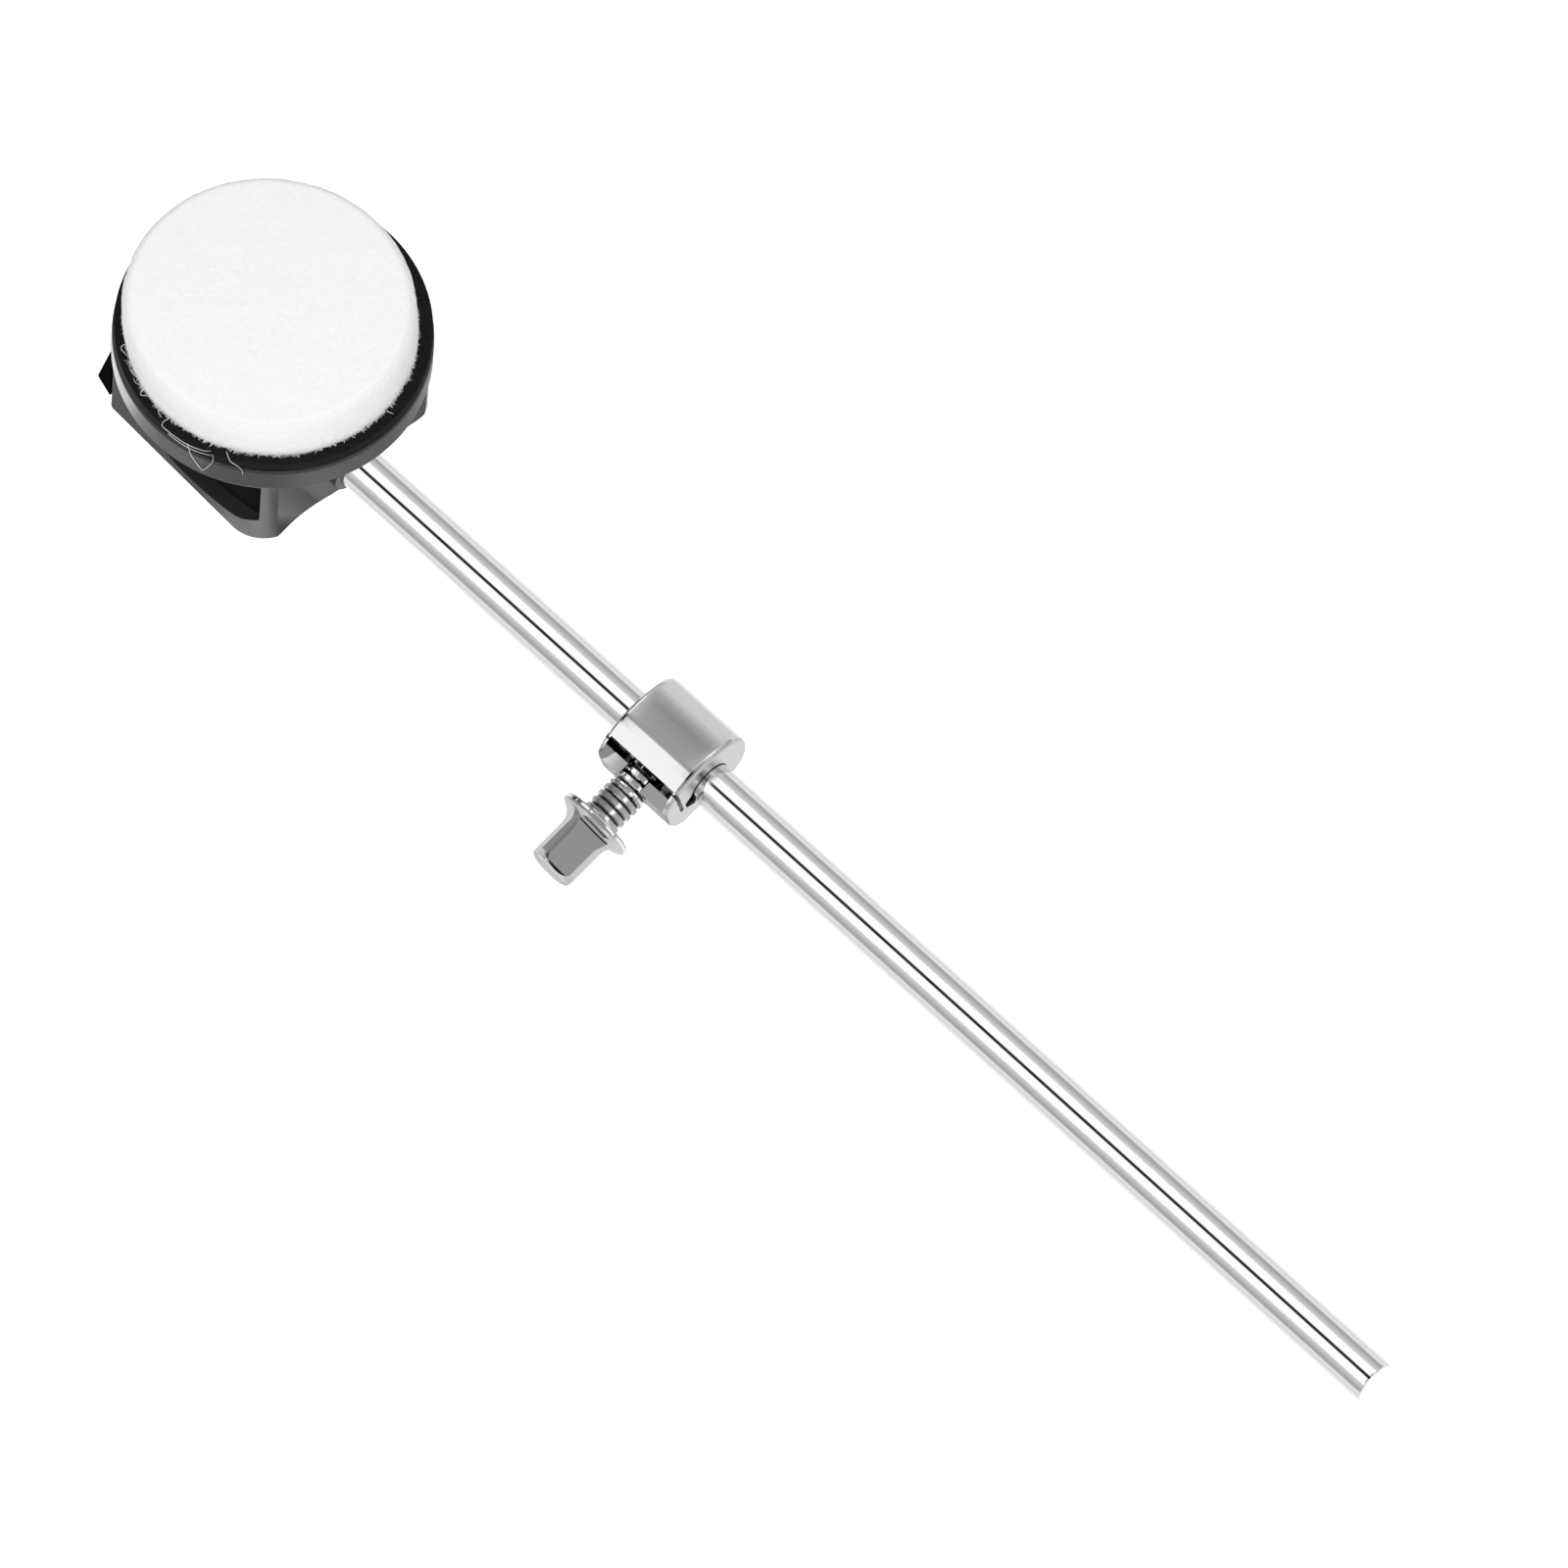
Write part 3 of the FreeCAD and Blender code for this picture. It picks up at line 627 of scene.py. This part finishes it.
def make_fibres(material):
    """Fibres that stand off the felt's edge, and the loose ones that hang over the backing and the flange."""
    low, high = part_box("felt_pad")
    backing_low, backing_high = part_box("pad_backing")
    axis = (backing_low + backing_high) / 2
    centre = (low + high) / 2
    radius = (high.x - low.x) / 2 - FELT_SLACK - FELT_TUCK
    vertices = []
    faces = []
    for fibre in LOOSE_FIBRES:
        points = [
            Vector((axis.x, axis.y, 0.0)) + around(math.radians(turn)) * reach * MM + Z_AXIS * height * MM
            for turn, reach, height in fibre
        ]
        add_fibre(vertices, faces, smooth_path(points, FIBRE_STEPS), FIBRE_RADIUS, FIBRE_SIDES)
    chance = random.Random(FRINGE_SEED)
    for _ in range(FRINGE_COUNT):
        out = around(chance.uniform(0.0, 2 * math.pi))
        along = Vector((-out.y, out.x, 0.0))
        foot = low.z + chance.uniform(*FRINGE_FOOT) * MM
        place = Vector((centre.x, centre.y, foot)) + FELT_FOOT + out * (radius - FRINGE_ROOT)
        clump = noise.noise(out * FRINGE_CLUMPS)
        way = out * chance.uniform(*FRINGE_OUT) + along * chance.uniform(*FRINGE_ASIDE)
        length = chance.uniform(*FRINGE_LENGTH) * MM * (1.0 + FRINGE_CLUMPING * clump)
        curl = along * chance.uniform(*FRINGE_CURL) * length
        fall = Z_AXIS * (foot - low.z - FRINGE_LIFT)
        shares = [step / FRINGE_STEPS for step in range(FRINGE_STEPS + 1)]
        path = [place + way * length * share + curl * share**2 - fall * share for share in shares]
        add_fibre(vertices, faces, path, chance.uniform(*FRINGE_RADIUS) * MM, FRINGE_SIDES)
    fibres = new_object("felt_fibres", vertices, faces, material)
    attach(fibres, "beater")


def place_camera():
    """The camera of the photograph."""
    data = bpy.data.cameras.new("camera")
    data.sensor_width = SENSOR_WIDTH
    data.lens = SENSOR_WIDTH * VIEW_DISTANCE / VIEW_WIDTH
    data.clip_end = VIEW_END
    camera = bpy.data.objects.new("camera", data)
    axes = Matrix((VIEW_RIGHT, VIEW_UP, VIEW_BACK)).transposed()
    camera.matrix_world = Matrix.Translation(VIEW_POINT + VIEW_BACK * VIEW_DISTANCE) @ axes.to_4x4()
    bpy.context.scene.collection.objects.link(camera)
    bpy.context.scene.camera = camera


def make_floor():
    """A pale floor that the camera sees as white and that reflections don't see."""
    half = FLOOR_SIZE / 2
    centre = (cad_box[0] + cad_box[1]) / 2
    height = cad_box[0].z - FLOOR_DROP
    corners = [(centre.x + x * half, centre.y + y * half, height) for x, y in SQUARE]
    material, shader = new_material("pale_floor", grey(FLOOR_SHADE), FLOOR_ROUGH)
    shader.inputs["Emission Color"].default_value = (1.0, 1.0, 1.0, 1.0)
    tree = material.node_tree
    path = tree.nodes.new("ShaderNodeLightPath")
    glow = add_math(tree, "MULTIPLY", path.outputs["Is Camera Ray"], FLOOR_GLOW)
    tree.links.new(glow, shader.inputs["Emission Strength"])
    floor = new_object("floor", corners, [(0, 1, 2, 3)], material, smooth=False)
    floor.visible_glossy = False


def half_turns(stops):
    """Stops in degrees as shares of a half turn."""
    return [(angle / 180.0, level) for angle, level in stops]


def reflected(normal):
    """Where a face with this normal sends the photograph's line of sight."""
    return 2 * normal.dot(VIEW_BACK) * normal - VIEW_BACK


def light_world():
    """A studio tunnel along the shaft for what shines, white behind the object and even light on the rest."""
    world = bpy.data.worlds.new("studio")
    bpy.context.scene.world = world
    world.use_nodes = True
    tree = world.node_tree
    way = add_place(tree, "Generated")
    turn = add_math(tree, "ABSOLUTE", add_angle(tree, way, VIEW_ROUND_SHAFT, VIEW_ASIDE))
    tunnel = add_ramp(tree, turn, half_turns(TUNNEL))
    gloom = add_ramp(tree, add_dot(tree, way, X_AXIS), GLOOM)
    overhead = add_ramp(tree, turn, half_turns(OVERHEAD))
    shine = multiply_colours(tree, tunnel, mix_colours(tree, overhead, 1.0, gloom))
    for normal, outside, inside, level in DIM_SPOTS:
        near = add_dot(tree, way, reflected(normal))
        shine = multiply_colours(tree, shine, add_ramp(tree, near, [(outside, 1.0), (inside, level)]))
    path = tree.nodes.new("ShaderNodeLightPath")
    lit = mix_colours(tree, path.outputs["Is Glossy Ray"], ROOM_LEVEL, shine)
    seen = mix_colours(tree, path.outputs["Is Camera Ray"], lit, 1.0)
    tree.links.new(seen, tree.nodes["Background"].inputs["Color"])


def hide_card(card):
    """Keep a card out of everything but reflections."""
    card.visible_camera = False
    card.visible_diffuse = False
    card.visible_transmission = False
    card.visible_volume_scatter = False
    card.visible_shadow = False


def card_material(name, front, aside, stops, one_sided, gain):
    """A light with brightness by the angle from the front towards the side, in degrees."""
    material = bpy.data.materials.new(name)
    material.use_nodes = True
    tree = material.node_tree
    tree.nodes.clear()
    output = tree.nodes.new("ShaderNodeOutputMaterial")
    light = tree.nodes.new("ShaderNodeEmission")
    light.inputs["Strength"].default_value = gain
    turn = add_angle(tree, add_place(tree), front, aside)
    share = add_math(tree, "MULTIPLY_ADD", turn, 0.5, 0.5)
    colours = add_ramp(tree, share, [(0.5 + angle / 360.0, level) for angle, level in stops])
    tree.links.new(colours, light.inputs["Color"])
    shader = light.outputs["Emission"]
    if one_sided:
        clear = tree.nodes.new("ShaderNodeBsdfTransparent")
        mix = tree.nodes.new("ShaderNodeMixShader")
        side = tree.nodes.new("ShaderNodeNewGeometry")
        tree.links.new(side.outputs["Backfacing"], mix.inputs["Fac"])
        tree.links.new(shader, mix.inputs[1])
        tree.links.new(clear.outputs["BSDF"], mix.inputs[2])
        shader = mix.outputs["Shader"]
    tree.links.new(shader, output.inputs["Surface"])
    return material


def make_ring(name, centre, edges, material):
    """A closed strip between two edges, given as pairs of points, that only shows in what shines."""
    vertices = [point for pair in edges for point in pair]
    count = len(vertices)
    faces = [(s, s + 1, (s + 3) % count, (s + 2) % count) for s in range(0, count, 2)]
    card = new_object(name, vertices, faces, material, smooth=False)
    card.location = centre
    hide_card(card)


def make_card(name, centre, axis, radius, reach, stops, one_sided=True):
    """A lit strip round an axis, with brightness by the angle from the view."""
    aside = axis.cross(VIEW_BACK).normalized()
    front = aside.cross(axis)
    edges = []
    for step in range(CARD_STEPS):
        out = around(2 * math.pi * step / CARD_STEPS, front, aside) * radius
        edges.append((axis * reach[0] + out, axis * reach[1] + out))
    make_ring(name, centre, edges, card_material(name, front, aside, stops, one_sided, gain=1.0))


def make_flat_card(name, height, radii, stops):
    """A lit flat ring about the head's axis that only shows from above, cut off towards the shaft."""
    edges = []
    for step in range(CARD_STEPS):
        out = around(2 * math.pi * step / CARD_STEPS)
        rim = out * radii[1]
        rim.x = max(rim.x, FLAT_CARD_EDGE)
        edges.append((out * radii[0], rim))
    material = card_material(name, X_AXIS, Y_AXIS, stops, one_sided=True, gain=FLAT_CARD_GAIN)
    make_ring(name, HEAD_PLACE + Z_AXIS * height, edges, material)


def sleeve_stops():
    """Stops of the tunnel, moved to where the shaft's reflections meet a card close round it."""
    sleeve = []
    for angle, level in TUNNEL:
        turn = math.radians(angle)
        start = Vector((math.cos(turn / 2), math.sin(turn / 2))) * SHAFT_RADIUS
        way = Vector((math.cos(turn), math.sin(turn)))
        ahead = start.dot(way)
        hit = start + way * (math.sqrt(ahead**2 - SHAFT_RADIUS**2 + SHAFT_CARD**2) - ahead)
        sleeve.append((math.degrees(math.atan2(hit.y, hit.x)), level))
    return [(-angle, level) for angle, level in reversed(sleeve[1:])] + sleeve


def place_cards():
    """Cards for the collar, for the shaft where it enters the head, for the lock's screw and for the head."""
    origin = Vector((0.0, 0.0, 0.0))
    low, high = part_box("lock_collar")
    shift = -VIEW_BACK.x / math.hypot(VIEW_BACK.y, VIEW_BACK.z) * (COLLAR_CARD - high.z)
    reach = (low.x + shift, high.x + shift)
    make_card("collar_card", origin, X_AXIS, COLLAR_CARD, reach, COLLAR_STOPS, one_sided=False)
    make_card("shaft_card", origin, X_AXIS, SHAFT_CARD, SHAFT_CARD_REACH, sleeve_stops())
    for name, reach, stops in (
        ("thread_card", THREAD_CARD_REACH, THREAD_STOPS),
        ("key_card", KEY_CARD_REACH, KEY_STOPS),
        ("dark_card", DARK_CARD_REACH, DARK_STOPS),
    ):
        make_card(name, SCREW_PLACE, SCREW_AXIS, SCREW_CARD, reach, stops)
    make_flat_card("flange_card", FLANGE_CARD_HEIGHT, FLANGE_CARD, FLANGE_STOPS)
    make_flat_card("head_card", HEAD_CARD_HEIGHT, HEAD_CARD, HEAD_STOPS)


def place_tip_card():
    """A white card that the end of the shaft reflects."""
    way = reflected(-X_AXIS)
    aside = way.orthogonal().normalized() * TIP_CARD_SIZE
    over = way.cross(aside)
    corners = [way * TIP_CARD_DROP + aside * a + over * b for a, b in SQUARE]
    material, shader = new_material("tip_card", grey(0.0), 1.0)
    shader.inputs["Emission Color"].default_value = (1.0, 1.0, 1.0, 1.0)
    shader.inputs["Emission Strength"].default_value = TIP_CARD_LEVEL
    hide_card(new_object("tip_card", corners, [(0, 1, 2, 3)], material, smooth=False))


def place_key_lamp():
    """A soft lamp over the head that reflections don't see."""
    data = bpy.data.lights.new("key", "AREA")
    data.shape = "SQUARE"
    data.size = KEY_LAMP_SIZE
    data.energy = KEY_LAMP_POWER
    lamp = bpy.data.objects.new("key", data)
    lamp.location = KEY_LAMP_PLACE
    lamp.rotation_mode = "QUATERNION"
    lamp.rotation_quaternion = (KEY_LAMP_PLACE - HEAD_PLACE).to_track_quat("Z", "Y")
    bpy.context.scene.collection.objects.link(lamp)
    lamp.visible_glossy = False


felt = make_felt()
for node, material in (
    ("shaft", make_chrome("chrome_plate", *SHAFT_PLATING)),
    ("lock_collar", make_collar_metal()),
    ("lock_screw", make_screw_metal()),
    ("head_frame", make_plastic()),
    ("pad_backing", make_black("black_backing", *BACKING_BLACK)),
    # the end cap's near lightless black: partly its own colour, partly painted shade of the head's far corner
    ("end_cap", make_black("black_cap_painted_shade", *CAP_BLACK_AND_PAINTED_SHADE)),
    ("socket_insert", make_brass()),
    ("felt_pad", felt),
):
    dress(node, material)
make_felt_pad(felt)
make_fibres(felt)

bpy.context.scene.view_settings.view_transform = "Standard"
make_floor()
light_world()
place_cards()
place_tip_card()
place_key_lamp()
place_camera()
